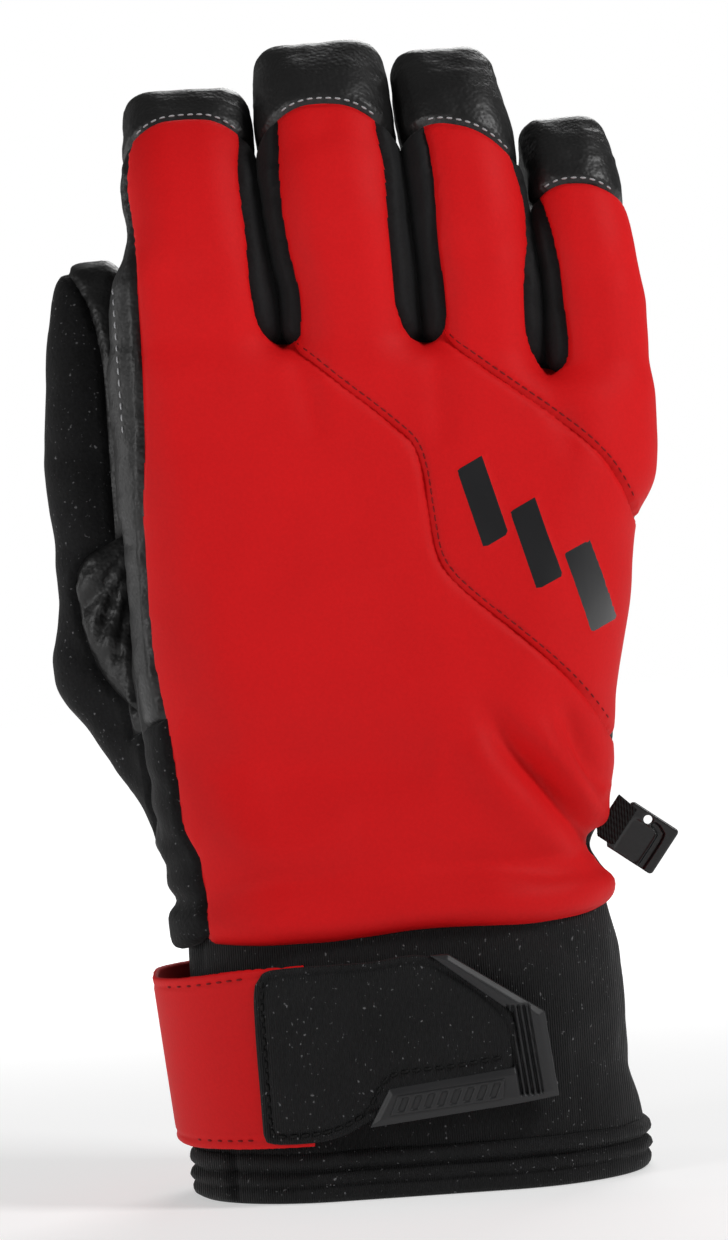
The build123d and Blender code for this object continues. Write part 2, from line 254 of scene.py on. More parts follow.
# ---------------------------------------------------------------- meshing
def surface_net(field, lo, hi, step):
    """Quads over a field's zero surface, as (vertices, faces)."""
    counts = [int(math.ceil((b - a) / step)) + 1 for a, b in zip(lo, hi)]
    axes = [a + step * np.arange(n) for a, n in zip(lo, counts)]
    values = np.empty(counts, np.float32)
    for i in range(0, counts[0], 12):
        x, y, z = np.meshgrid(axes[0][i : i + 12], axes[1], axes[2], indexing="ij")
        values[i : i + 12] = field(x, y, z)
    inside = values < 0
    cells = tuple(n - 1 for n in counts)
    total = np.zeros(cells, np.int8)
    corners = [(i, j, k) for i in (0, 1) for j in (0, 1) for k in (0, 1)]
    for i, j, k in corners:
        total += inside[i : i + cells[0], j : j + cells[1], k : k + cells[2]]
    ci, cj, ck = np.nonzero((total > 0) & (total < 8))
    number = np.full(cells, -1, np.int64)
    number[ci, cj, ck] = np.arange(len(ci))
    corner_value = {c: values[ci + c[0], cj + c[1], ck + c[2]] for c in corners}
    total_place, crossings = np.zeros((len(ci), 3)), np.zeros(len(ci))
    for a in corners:
        for axis in range(3):
            if a[axis]:
                continue
            b = tuple(v + (n == axis) for n, v in enumerate(a))
            fa, fb = corner_value[a], corner_value[b]
            crosses = (fa < 0) != (fb < 0)
            t = np.where(crosses, fa / np.where(crosses, fa - fb, 1), 0)
            place = np.array(a, float)[None, :].repeat(len(ci), 0)
            place[:, axis] += t
            total_place += place * crosses[:, None]
            crossings += crosses
    vertices = (np.stack([ci, cj, ck], 1) + total_place / crossings[:, None]) * step + np.array(lo)
    faces = []
    for axis in range(3):
        others = [n for n in range(3) if n != axis]
        near = [slice(1, c) for c in cells]
        near[axis] = slice(0, cells[axis])
        far = list(near)
        far[axis] = slice(1, cells[axis] + 1)
        first, second = inside[tuple(near)], inside[tuple(far)]
        i, j, k = np.nonzero(first != second)
        flip = second[i, j, k]
        at = np.stack([i, j, k], 1)
        for n in others:
            at[:, n] += 1
        ring = []
        for da, db in ((0, 0), (1, 0), (1, 1), (0, 1)):
            c = at.copy()
            c[:, others[0]] -= da
            c[:, others[1]] -= db
            ring.append(number[c[:, 0], c[:, 1], c[:, 2]])
        quad = np.stack(ring, 1)
        turn = flip if axis != 1 else ~flip
        quad[turn] = quad[turn][:, ::-1]
        faces.append(quad)
    return vertices, np.concatenate(faces)


def gradient(field, p, h=0.25):
    out = np.empty_like(p)
    for n in range(3):
        d = np.zeros(3)
        d[n] = h
        a, b = p + d, p - d
        out[:, n] = (field(*a.T) - field(*b.T)) / (2 * h)
    return out


def settle(field, p, rounds=2):
    """Moves points onto the field's zero surface, and returns them with their outward normals."""
    for _ in range(rounds):
        g = gradient(field, p)
        p = p - g * (field(*p.T) / np.maximum((g * g).sum(1), 0.05))[:, None].clip(-1, 1)
    g = gradient(field, p)
    return p, g / np.linalg.norm(g, axis=1, keepdims=True)


# ---------------------------------------------------------------- seams
def dense(points, step=1.5):
    """Points about a step apart on a smooth line through the given ones."""
    p = np.array(points, float)
    ends = np.concatenate([[2 * p[0] - p[1]], p, [2 * p[-1] - p[-2]]])
    out = []
    for a, b, c, d in zip(ends, ends[1:], ends[2:], ends[3:]):
        n = max(1, int(np.linalg.norm(c - b) / step))
        t = (np.arange(n) / n)[:, None]
        square = (2 * a - 5 * b + 4 * c - d) * t**2
        cube = (3 * b - a - 3 * c + d) * t**3
        out.append(0.5 * (2 * b + (c - a) * t + square + cube))
    return np.concatenate([*out, p[-1:]])


def to_segment(x, z, a, b):
    """How far along a segment points lie, from 0 to 1, and their offsets from it."""
    ux, uz = b[0] - a[0], b[1] - a[1]
    t = np.clip(((x - a[0]) * ux + (z - a[1]) * uz) / (ux * ux + uz * uz), 0, 1)
    return t, x - a[0] - ux * t, z - a[1] - uz * t


def line_distance(points, x, z):
    """Distance from a line in the XZ plane: positive on its left when the line is walked."""
    best, signed = np.full(np.shape(x), FAR), np.full(np.shape(x), FAR)
    for a, b in zip(points, points[1:]):
        _, dx, dz = to_segment(x, z, a, b)
        away = dx * dx + dz * dz
        side = np.where((b[0] - a[0]) * (z - a[1]) - (b[1] - a[1]) * (x - a[0]) >= 0, 1, -1)
        closer = away < best - 1e-9
        best = np.where(closer, away, best)
        signed = np.where(closer, side * np.sqrt(away), signed)
    return signed


def outline_distance(points, x, z):
    """Distance from a closed outline in the XZ plane, negative inside."""
    closed = np.concatenate([points, points[:1]])
    away = np.full(np.shape(x), FAR)
    inside = np.zeros(np.shape(x), bool)
    for a, b in zip(closed, closed[1:]):
        ux, uz = b - a
        if ux * ux + uz * uz < 1e-12:
            continue
        _, dx, dz = to_segment(x, z, a, b)
        away = np.minimum(away, np.hypot(dx, dz))
        if uz != 0:
            inside ^= ((a[1] > z) != (b[1] > z)) & (x < a[0] + (z - a[1]) * ux / uz)
    return np.where(inside, -away, away)


RED_LEFT = curve(
    [(50, -43.8), (62, -44.4), (75, -45.2), (83, -48.2), (98, -50), (110, -51.5), (128, -53), (150, -53),
     (170, -51.2), (190, -50.6), (215, -50.6), (226, -51.6), (233, -51), (240, -49.6), (262, -49)]
)
SEAM_ONE = dense(
    [(-22, 262), (-21.3, 226), (-19, 200), (-17.5, 190), (-12, 184), (-6, 178.4), (0, 173.2), (5, 168.5),
     (8.6, 164.6), (10.2, 159), (11, 150), (12, 140.5), (14.5, 135), (20, 129), (28, 121.7), (36, 114),
     (42, 107.3), (47, 100), (51, 92), (62, 70)]
)
SEAM_TWO = dense(
    [(9, 262), (11, 226), (12.5, 200), (17, 188.5), (25, 181), (33, 174.5), (41, 168), (48, 161.5),
     (53, 155), (57.5, 145), (66, 120)]
)
FORKS = [
    dense([(-24.5, 268), (-24.6, 240), (-25.5, 228), (-24.7, 215), (-24.4, 201), (-23.2, 193.5),
           (-20.6, 190), (-18, 189.2), (-15.6, 190.2), (-14.9, 199), (-16.2, 207), (-17.3, 216),
           (-17.6, 228), (-17.1, 241), (-17, 268)]),
    dense([(6, 268), (6.1, 238), (7.3, 228), (7.3, 215), (7.4, 201), (8, 194), (10, 189.2), (13, 187.6),
           (16, 188.6), (17.4, 192), (17.3, 200), (16.6, 210), (16.9, 221), (16.4, 230), (15.2, 240),
           (15, 268)]),
    dense([(31, 262), (32.2, 237), (35, 230), (37, 222), (37.9, 215), (37.8, 208), (36.6, 200), (36, 192),
           (36.6, 185.5), (38.6, 180.6), (41, 178.8), (43.4, 180.4), (44.3, 184.5), (44, 191), (43, 205),
           (41.2, 215), (39.6, 223), (39, 262)]),
]
# height of the cap seam at the middle of the finger's back, and its drop per millimetre to the right
CAPS = {"index": (242.4, 0), "middle": (242.8, 0.05), "ring": (235.6, 0.25), "little": (220.8, 0.06)}
CAP_ARCH = 0.015
OVERLAY = dense(
    [(-58.7, 149), (-63, 147), (-68.2, 144.2), (-70.2, 138.9), (-69.3, 129.1), (-66.6, 120.4),
     (-61.8, 112.9), (-56.7, 108.3), (-51.5, 105.2), (-45, 103), (-40, 103), (-40, 150), (-58.7, 149)]
)
THUMB_STRIP = curve([(100, -60), (185, -60), (193, -60.8), (203, -63.2), (210, -67), (214, -71)])
PALM_PATCH = dense(
    [(-30, 152), (-34, 120), (-20, 90), (0, 76), (24, 80), (40, 100), (47, 130), (46, 152), (30, 163),
     (0, 165), (-22, 163), (-30, 152)]
)
BARS = [
    [(x, z), (x + 5, z - 19), (x + 12, z - 15.5), (x + 7, z + 3.5)]
    for x, z in ((17, 158), (28, 148), (39, 138))
]


def column(x, z):
    """Which finger's column a point is in: 0 for the index finger to 3 for the little one."""
    return sum((x > slit(z)).astype(int) for slit in SLITS)


def finger_at(x, y, z):
    """Which finger a point belongs to. Above the straight part it is the finger whose form is nearest."""
    nearest = np.argmin([digit_field(name, x, y, z) for name in FINGERS], axis=0)
    return np.where(z > CURL_START, nearest, column(x, z))


def local(x, y, z):
    """Distance up the finger, depth towards the palm, sideways place and finger number of points."""
    which = finger_at(x, y, z)
    s, b, a = (np.zeros(np.shape(x)) for _ in range(3))
    for n, name in enumerate(FINGERS):
        sn, bn, centre = along(name, y, z)
        left, right = DIGITS[name][6:8]
        here = which == n
        s = np.where(here, sn, s)
        b = np.where(here, bn, b)
        a = np.where(here, x - (left(centre) + right(centre)) / 2, a)
    return s, b, a, which


def cap_field(x, y, z):
    s, _, a, which = local(x, y, z)
    out = np.full(np.shape(x), -99.0)
    for n, name in enumerate(FINGERS):
        root, bend, turn, straight = digit_shape(name)
        deep = DIGITS[name][2]
        height, drop = CAPS[name]
        theta = np.linspace(0, turn, 60)
        back = root + straight + (bend + deep) * np.sin(theta)
        at = straight + bend * np.interp(height, back, theta)
        out = np.where(which == n, s - at + drop * a + CAP_ARCH * a * a, out)
    return out


SIDE_DEPTH = 1.5
FINGERS_ABOVE = 168.0
WRIST_BELOW = 78.0


CUTS = {
    "thumb": lambda x, y, z: thumb_part(x, y, z) - hand_part(x, y, z),
    "cap": cap_field,
    "fork": lambda x, y, z: np.minimum.reduce([outline_distance(f, x, z) for f in FORKS]),
    "back": lambda x, y, z: local(x, y, z)[1] - SIDE_DEPTH,
    "left": lambda x, y, z: RED_LEFT(z) - x,
    "one": lambda x, y, z: line_distance(SEAM_ONE, x, z),
    "two": lambda x, y, z: line_distance(SEAM_TWO, x, z),
    "overlay": lambda x, y, z: outline_distance(OVERLAY, x, z),
    "gusset": lambda x, y, z: z - 107 - 0.4 * (x + 52),
    "thumb_strip": lambda x, y, z: THUMB_STRIP(z) - x,
    "thumb_back": lambda x, y, z: along("thumb", y, z)[1] - SIDE_DEPTH,
    "patch": lambda x, y, z: outline_distance(PALM_PATCH, x, z),
    "bars": lambda x, y, z: np.minimum.reduce([outline_distance(bar, x, z) for bar in BARS]) + 0.7,
    "top": lambda x, y, z: z - FINGERS_ABOVE,
    "wrist": lambda x, y, z: z - WRIST_BELOW,
    "mouth": lambda x, y, z: hand_section(x, y, z) + 6.0 + 50 * ramp(z, 59.5, 60.5),
}


def cut(v, f, sides, name):
    """Splits the triangles along a field's zero line, and keeps each face's side under the cut's name."""
    field = CUTS[name]
    g = field(*v.T)
    near = np.abs(g) < 0.6
    slope = gradient(field, v[near], 0.1)
    size = np.maximum((slope * slope).sum(1), 0.2)
    away = g[near] / np.sqrt(size)
    snap = np.abs(away) < 0.3
    which = np.flatnonzero(near)[snap]
    v = v.copy()
    v[which] -= slope[snap] * (g[near][snap] / size[snap])[:, None]
    g[which] = 0
    edge = np.sort(f[:, [[0, 1], [1, 2], [2, 0]]].reshape(-1, 2), 1)
    crosses = g[edge[:, 0]] * g[edge[:, 1]] < 0
    pairs, back = np.unique(edge[crosses], axis=0, return_inverse=True)
    t = g[pairs[:, 0]] / (g[pairs[:, 0]] - g[pairs[:, 1]])
    fresh = v[pairs[:, 0]] * (1 - t)[:, None] + v[pairs[:, 1]] * t[:, None]
    middle = np.full(len(edge), -1)
    middle[crosses] = len(v) + back.ravel()
    middle = middle.reshape(-1, 3)
    count = (middle >= 0).sum(1)
    g = np.concatenate([g, np.zeros(len(fresh))])
    v = np.concatenate([v, fresh])
    parts, parent = [f[count == 0]], [np.flatnonzero(count == 0)]
    for n in range(3):
        a, b, c = f[:, n], f[:, (n + 1) % 3], f[:, (n + 2) % 3]
        m0, m1, m2 = middle[:, n], middle[:, (n + 1) % 3], middle[:, (n + 2) % 3]
        two = (count == 2) & (m2 < 0)
        one = (count == 1) & (m0 >= 0)
        halves = (one, (a, m0, c)), (one, (m0, b, c))
        split = (two, (m0, b, m1)), (two, (a, m0, m1)), (two, (a, m1, c)), *halves
        for chosen, triangle in split:
            parts.append(np.stack(triangle, 1)[chosen])
            parent.append(np.flatnonzero(chosen))
    f, parent = np.concatenate(parts), np.concatenate(parent)
    sides = {k: s[parent] for k, s in sides.items()}
    corner = g[f]
    strongest = np.take_along_axis(corner, np.abs(corner).argmax(1)[:, None], 1)[:, 0]
    sides[name] = strongest > 0
    return v, f, sides


def triangles(v, quads):
    """Each quad cut along its shorter diagonal."""
    first = np.linalg.norm(v[quads[:, 0]] - v[quads[:, 2]], axis=1)
    second = np.linalg.norm(v[quads[:, 1]] - v[quads[:, 3]], axis=1)
    q = np.where((first <= second)[:, None], quads, np.roll(quads, -1, axis=1))
    return np.concatenate([q[:, [0, 1, 2]], q[:, [0, 2, 3]]])


def face_normals(v, f):
    return np.cross(v[f[:, 1]] - v[f[:, 0]], v[f[:, 2]] - v[f[:, 0]])


def has_area(v, f):
    """Which faces have three different corners and some area."""
    apart = (f[:, 0] != f[:, 1]) & (f[:, 1] != f[:, 2]) & (f[:, 0] != f[:, 2])
    return (np.linalg.norm(face_normals(v, f), axis=1) > 1e-7) & apart


def point_normals(v, f):
    n = face_normals(v, f)
    out = np.zeros_like(v)
    for c in range(3):
        np.add.at(out, f[:, c], n)
    return out / np.maximum(np.linalg.norm(out, axis=1, keepdims=True), 1e-12)


LABELS = [
    "index_panel", "band_panel", "outer_panel", "emblem", "palm", "palm_patch", "fork", "cap", "side", "soft",
    "overlay", "thumb_palm",
]


def label_faces(s):
    """The sewn panel each face belongs to, from the sides of the cuts it lies on. Later rules win."""
    front, thumb = ~s["back"], ~s["thumb"]
    side, red = front & s["left"], front & ~s["left"]
    band = red & s["one"] & ~s["two"]
    thumb_back = thumb & ~s["thumb_back"]
    rules = (
        ("palm_patch", s["back"] & ~s["patch"]),
        ("side", side),
        ("soft", side & ~s["gusset"]),
        ("index_panel", red & ~s["one"]),
        ("band_panel", band),
        ("outer_panel", red & s["one"] & s["two"]),
        ("emblem", band & ~s["bars"]),
        ("fork", ~s["fork"]),
        ("cap", s["cap"]),
        ("thumb_palm", thumb),
        ("soft", thumb_back & s["thumb_strip"]),
        ("soft", thumb_back & ~s["gusset"]),
        ("overlay", thumb_back & ~s["overlay"]),
    )
    out = np.full(len(front), LABELS.index("palm"))
    for label, chosen in rules:
        out[chosen] = LABELS.index(label)
    return out


# ---------------------------------------------------------------- sculpting
LATTICE_SIZE = 32
lattice = rng.random((LATTICE_SIZE,) * 3) * 2 - 1


def noise(p, size, shift=0.0):
    """Smooth noise between about -1 and 1, in lumps about size across, which may differ by axis."""
    q = p / np.asarray(size, float) + shift
    i = np.floor(q).astype(int)
    u = q - i
    u = u * u * (3 - 2 * u)
    total = 0
    for corner in itertools.product((0, 1), repeat=3):
        share = np.where(corner, u, 1 - u)
        cell = (i + corner) % LATTICE_SIZE
        total = total + share[:, 0] * share[:, 1] * share[:, 2] * lattice[tuple(cell.T)]
    return total


def stroke(p, points, width, depth):
    """A soft fold along a line in the XZ plane: depth at its middle, fading to its ends and sides."""
    line = dense(points, 4)
    best, where = np.full(len(p), FAR), np.zeros(len(p))
    for n, (a, b) in enumerate(zip(line, line[1:])):
        t, dx, dz = to_segment(p[:, 0], p[:, 2], a, b)
        away = np.hypot(dx, dz)
        closer = away < best
        best = np.where(closer, away, best)
        where = np.where(closer, (n + t) / (len(line) - 1), where)
    return depth * np.exp(-((best / width) ** 2)) * np.sin(np.pi * np.clip(where, 0.02, 0.98)) ** 0.6


# folds as (points, width, height)
BACK_FOLDS = [
    ([(20, 106), (25.5, 96), (32, 88.5), (38.8, 78.7), (44.5, 70)], 3.2, -4.6),
    ([(14, 98), (22, 88), (30, 79), (38, 70)], 5.0, 2.2),
    ([(30, 102), (36, 92), (42, 82), (46, 76)], 2.8, 2.0),
    ([(37, 106), (41, 95), (46, 84)], 2.8, -3.0),
    ([(46, 67), (34, 68), (18, 71), (2, 72)], 2.6, -1.1),
    ([(44, 62), (26, 63), (0, 64)], 3.0, 0.7),
    ([(-49, 106), (-34, 97), (-12, 95), (10, 94)], 8.0, -3.2),
    ([(-44, 82), (-28, 77), (-8, 78)], 6.0, 1.6),
    ([(-44, 68), (-30, 70), (-14, 69)], 3.0, -0.7),
    ([(4, 112), (0, 124), (-2, 138)], 8.0, -0.8),
    ([(-50, 128), (-40, 140), (-34, 158)], 5.0, -0.6),
    ([(-16, 188), (-14, 178), (-12, 166)], 3.2, -0.8),
    ([(14, 187), (15, 176), (15, 162)], 3.2, -0.8),
    ([(40, 178), (42, 168), (44, 158)], 3.0, -0.8),
    ([(-48, 207), (-38, 204), (-28, 207)], 3.8, -0.5),
    ([(-14, 214), (-4, 211), (6, 214)], 3.8, -0.5),
    ([(-16, 232), (-5, 236), (6, 232)], 3.8, -0.6),
    ([(18, 210), (26, 207), (36, 210)], 3.8, -0.5),
    ([(44, 201), (52, 198), (60, 202)], 3.2, -0.5),
]
CREASES = [
    ([(-57.5, 149), (-63, 145), (-69, 141)], 1.3, -1.3),
    ([(-57.5, 145.5), (-63, 139), (-69, 132)], 1.2, -1.3),
    ([(-57.5, 142), (-62, 133), (-66.5, 123)], 1.1, -1.2),
    ([(-57, 138), (-60, 127), (-62, 116)], 1.1, -1.1),
    ([(-56.5, 133), (-57.5, 121), (-57, 110)], 1.1, -1.0),
    ([(-55.5, 128), (-54, 117), (-51, 107)], 1.1, -0.9),
    ([(-60, 138), (-64, 130), (-65, 124)], 0.9, -0.7),
    ([(-58, 128), (-60, 120), (-59, 113)], 0.9, -0.7),
]
SOFT_FOLDS = [
    ([(-75, 128), (-66, 120), (-58, 112)], 3.0, -1.2),
    ([(-70, 116), (-62, 106), (-54, 100)], 3.0, -1.0),
    ([(-64, 104), (-57, 94), (-50, 90)], 3.2, -1.2),
    ([(-60, 92), (-54, 82), (-48, 78)], 3.0, -1.4),
    ([(-58, 76), (-52, 74), (-45, 76)], 2.6, -1.6),
    ([(-55, 68), (-50, 66), (-44, 68)], 2.4, -1.4),
    ([(-76, 150), (-68, 146), (-60, 150)], 3.2, -0.8),
    ([(-76, 172), (-67, 168), (-58, 172)], 3.4, -0.7),
]


def seam_points(v, f, labels):
    """Points along every line where two panels meet."""
    low, high = np.full(len(v), 99), np.full(len(v), -1)
    for c in range(3):
        np.minimum.at(low, f[:, c], labels)
        np.maximum.at(high, f[:, c], labels)
    on = (low != high) & (high >= 0)
    edge = np.sort(f[:, [[0, 1], [1, 2], [2, 0]]].reshape(-1, 2), 1)
    edge = np.unique(edge[on[edge].all(1)], axis=0)
    return on, np.concatenate([v[on], (v[edge[:, 0]] + v[edge[:, 1]]) / 2])


def seam_distance(v, points):
    tree = KDTree(len(points))
    for n, p in enumerate(points):
        tree.insert(p, n)
    tree.balance()
    return np.array([tree.find(p)[2] for p in v])


def points_of(v, f, chosen):
    """Which points the chosen faces use."""
    mask = np.zeros(len(v), bool)
    mask[np.unique(f[chosen])] = True
    return mask


def fold(v, folds, spread=1, share=0):
    """Folds, each with a shallower one of the other sign beside it that is spread times as wide."""
    total = np.zeros(len(v))
    for points, width, height in folds:
        total += stroke(v, points, width, height)
        if share:
            total -= share * stroke(v, points, spread * width, height)
    return total


def sculpt(v, f, labels, normals):
    """Pulls the seams in, fills the panels out, and creases the fabric."""
    sewn = np.where(labels == LABELS.index("emblem"), LABELS.index("band_panel"), labels)
    on, points = seam_points(v, f, sewn)
    d = seam_distance(v, points)
    d[on] = 0
    own = {name: points_of(v, f, sewn == n) & ~on for n, name in enumerate(LABELS)}
    red = own["index_panel"] | own["band_panel"] | own["outer_panel"]
    leather = own["cap"] | own["palm"] | own["side"] | own["thumb_palm"] | own["palm_patch"]
    crinkled = own["overlay"]
    back = normals[:, 1] < 0.25
    printed = points_of(v, f, labels == LABELS.index("emblem"))
    height = -1.0 * np.exp(-((d / 0.8) ** 2)) + 0.75 * (1 - np.exp(-d / 6.0))
    height += noise(v, 4.2) * np.where(red, 0.25, 0.4) * np.exp(-d / 3.2) * ramp(d, 0, 1.2)
    red_wave = 0.35 * noise(v, 23, 3.3) + 0.12 * noise(v, 9, 1.7)
    leather_wave = 0.4 * noise(v, 12, 5.1) - 0.3 * np.abs(noise(v, (5, 5, 3), 2.2))
    crinkles = 0.3 - 0.55 * np.abs(noise(v, (5, 5, 3), 4.4)) + 0.25 * noise(v, 2.2, 9.4)
    soft_wave = 0.5 * noise(v, (12, 12, 16), 6.6) + 0.15 * noise(v, 4, 1.1)
    fork_pillow = 0.6 * (1 - np.exp(-d / 1.1)) + 0.2 * noise(v, (6, 6, 4), 7.3)
    for chosen, rise in (
        (red, red_wave),
        (leather, leather_wave),
        (crinkled, crinkles),
        (own["soft"], soft_wave),
        (own["fork"], fork_pillow),
        (crinkled, fold(v, CREASES, 2.2, 0.5)),
        (back & (red | on | own["emblem"]), fold(v, BACK_FOLDS)),
        (back & ~red, fold(v, SOFT_FOLDS, 2.4, 0.4)),
        (printed, 0.22),
    ):
        height += np.where(chosen, rise, 0)
    return v + normals * height[:, None]


# ---------------------------------------------------------------- materials
def add_node(tree, kind, values=None, sources=None, **settings):
    """A node with its settings, its input values and the sockets that feed it."""
    node = tree.nodes.new("ShaderNode" + kind)
    for key, value in settings.items():
        setattr(node, key, value)
    fill(tree, node, values or {}, sources or {})
    return node


def fill(tree, node, values, sources):
    for socket, value in values.items():
        node.inputs[socket].default_value = value
    for socket, source in sources.items():
        tree.links.new(source, node.inputs[socket])


def rescale(tree, value, **ends):
    """A value mapped from one range to another."""
    names = {"low": "From Min", "high": "From Max", "start": "To Min", "end": "To Max"}
    values = {names[key]: end for key, end in ends.items()}
    return add_node(tree, "MapRange", values, {"Value": value}).outputs["Result"]


# the texture node, its values, its settings and its output
GRAINS = {
    "pebble": ("TexVoronoi", {}, {"feature": "SMOOTH_F1"}, "Distance"),
    "knit": ("TexWave", {"Distortion": 1.5, "Detail Scale": 2}, {"bands_direction": "X"}, "Fac"),
    "weave": ("TexNoise", {"Detail": 3}, {}, "Fac"),
}
CLOUD = {"Scale": 60, "Detail": 4}
SPECK = {"Scale": 1400, "Detail": 2}
DUST = {"Scale": 1100, "Detail": 1}
LINT_COLOR = (0.30, 0.30, 0.31, 1)


def shader(name, color, rough, bump, grain, scale, sheen=0.0, specular=0.5, coat=0.0, vary=0.12, lint=0.0):
    """A material with noise in its colour and roughness, and a fine grain of scale lumps per metre."""
    mat = bpy.data.materials.new(name)
    mat.use_nodes = True
    tree = mat.node_tree
    place = {"Vector": add_node(tree, "TexCoord").outputs["Object"]}
    cloud = add_node(tree, "TexNoise", CLOUD, place).outputs["Fac"]
    speck = add_node(tree, "TexNoise", SPECK, place).outputs["Fac"]
    both = add_node(tree, "Math", sources={0: cloud, 1: speck}, operation="ADD").outputs[0]
    shades = {"A": (*[c * (1 - vary) for c in color], 1), "B": (*[min(1, c * (1 + vary)) for c in color], 1)}
    tint = {"Factor": rescale(tree, both, low=0.6, high=1.4)}
    base = add_node(tree, "Mix", shades, tint, data_type="RGBA").outputs["Result"]
    if lint:
        dust = add_node(tree, "TexNoise", DUST, place).outputs["Fac"]
        few = rescale(tree, dust, low=0.70, high=0.78, end=lint)
        dusty = {"Factor": few, "A": base}
        base = add_node(tree, "Mix", {"B": LINT_COLOR}, dusty, data_type="RGBA").outputs["Result"]
    kind, values, settings, output = GRAINS[grain]
    fine = add_node(tree, kind, {**values, "Scale": scale}, place, **settings).outputs[output]
    relief = {"Strength": 1.0, "Distance": bump * MM}
    values = {
        "Specular IOR Level": specular, "Sheen Weight": sheen, "Sheen Roughness": 0.4, "Coat Weight": coat,
        "Coat Roughness": 0.25,
    }
    sources = {
        "Base Color": base,
        "Roughness": rescale(tree, cloud, start=max(0.05, rough - 0.08), end=min(1, rough + 0.08)),
        "Normal": add_node(tree, "Bump", relief, {"Height": fine}).outputs["Normal"],
    }
    fill(tree, tree.nodes["Principled BSDF"], values, sources)
    return mat


RED = (0.60, 0.0045, 0.006)
LEATHER = (0.0085, 0.0083, 0.0083)
SOFTSHELL = (0.0075, 0.0075, 0.008)
SUEDE = (0.0065, 0.0065, 0.0068)
KNIT = (0.0068, 0.0068, 0.0072)
FLEECE = (0.02, 0.02, 0.021)
TAPE = (0.012, 0.012, 0.012)
RUBBER = (0.016, 0.016, 0.017)
GLOSS = (0.008, 0.008, 0.009)
PLASTIC = (0.009, 0.009, 0.0095)
WEBBING = (0.009, 0.009, 0.009)
SILVER = (0.34, 0.34, 0.35)
DARK = (0.0025, 0.0025, 0.0025)
DEEP_RED = (0.20, 0.003, 0.004)
MATERIALS = {
    "red_softshell": shader("red softshell", RED, 0.66, 0.05, "weave", 1500, specular=0.16, vary=0.06),
    "black_leather": shader("black leather", LEATHER, 0.44, 0.12, "pebble", 1100, specular=0.4, vary=0.3),
    "black_softshell": shader("black softshell", SOFTSHELL, 0.75, 0.10, "weave", 1100, 0.05, 0.2, vary=0.35),
    "suede": shader("black suede", SUEDE, 0.8, 0.16, "weave", 900, 0.06, 0.15, vary=0.6, lint=0.4),
    "neoprene": shader("knit neoprene", KNIT, 0.75, 0.18, "knit", 620, 0.04, 0.22, vary=0.6, lint=0.45),
    "fleece": shader("fleece lining", FLEECE, 0.95, 0.5, "weave", 520, 0.4, 0.15, vary=0.4),
    "hook_loop": shader("hook and loop", TAPE, 0.95, 0.4, "weave", 800, 0.3, 0.2, vary=0.5),
    "strap_fabric": shader("red strap", RED, 0.62, 0.06, "weave", 1500, specular=0.16, vary=0.06),
    "tab_rubber": shader("moulded rubber", RUBBER, 0.48, 0.03, "weave", 900, specular=0.4, vary=0.1),
    "gloss_transfer": shader("glossy transfer", GLOSS, 0.3, 0.015, "weave", 500, 0, 0.6, 0.3, vary=0.1),
    "black_plastic": shader("black plastic", PLASTIC, 0.35, 0.02, "weave", 900, specular=0.45, vary=0.1),
    "webbing": shader("ribbed webbing", WEBBING, 0.75, 0.2, "knit", 500, specular=0.2, vary=0.3),
    "silver_thread": shader("silver thread", SILVER, 0.5, 0.02, "weave", 3000, specular=0.5, vary=0.15),
    "dark_thread": shader("dark thread", DARK, 0.6, 0.02, "weave", 3000, specular=0.2, vary=0.2),
    "red_thread": shader("deep red thread", DEEP_RED, 0.6, 0.02, "weave", 3000, specular=0.2, vary=0.15),
}
SLOT_OF = {
    "suede": "black_softshell",
    "silver_thread": "black_leather",
    "dark_thread": "black_leather",
    "red_thread": "red_softshell",
}


# ---------------------------------------------------------------- pieces
ZONES = {
    "cuff": ("cuff",),
    "hand": ("hand",),
    "strap": ("strap",),
    "strap_bend": ("cuff", "strap", (-57.6, 7, 32), (-57.6, -7, 32)),
    "clip": ("clip",),
    "clip_root": ("hand", "clip", (46.6, 0, 80.1), (50.2, 0, 77.4)),
    "wrist": ("cuff", "hand", (0, 0, 44), (0, 0, 72)),
    "index": ("hand", "index", (-36.6, 0, 176), (-36.6, 0, 204)),
    "middle": ("hand", "middle", (-6, 0, 176), (-6, 0, 204)),
    "ring": ("hand", "ring", (24, 0, 173), (24, 0, 199)),
    "little": ("hand", "little", (50, 0, 170), (50, 0, 194)),
    "thumb": ("hand", "thumb", (-62.9, 23.5, 116), (-62.9, 23.5, 140)),
}
made = {}


def new_object(name, mesh, material, zone):
    """An object with its material, which rides on its zone's body; a piece of a zone between two bodies is
    left unattached.
    """
    mesh.materials.append(MATERIALS[material])
    obj = bpy.data.objects.new(name, mesh)
    bpy.context.collection.objects.link(obj)
    SLOT_OF.get(material, material)
    how = ZONES[zone]
    if len(how) == 1:
        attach(obj, how[0])
    else:
        Vector(how[2]) * MM
        Vector(how[3]) * MM
        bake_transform(obj)
    return obj


def smooth_mesh(name, v, f):
    mesh = bpy.data.meshes.new(name)
    mesh.from_pydata((np.asarray(v) * MM).tolist(), [], [list(map(int, face)) for face in f])
    mesh.shade_smooth()
    return mesh


def piece(name, v, f, material, zone, normals=None):
    """A smooth object from points in millimetres and faces, kept under its name."""
    mesh = smooth_mesh(name, v, f)
    if normals is not None:
        mesh.normals_split_custom_set_from_vertices(normals.tolist())
    made[name] = new_object(name, mesh, material, zone)
    return made[name]


def zones_of(s, v, f):
    """The joint zone of each face of the skin."""
    middle = v[f].mean(1)
    out = np.full(len(f), "hand", dtype=object)
    which = finger_at(*middle.T)
    for n, name in enumerate(FINGERS):
        out[s["top"] & (which == n)] = name
    out[~s["wrist"]] = "wrist"
    out[~s["thumb"] & s["wrist"]] = "thumb"
    return out


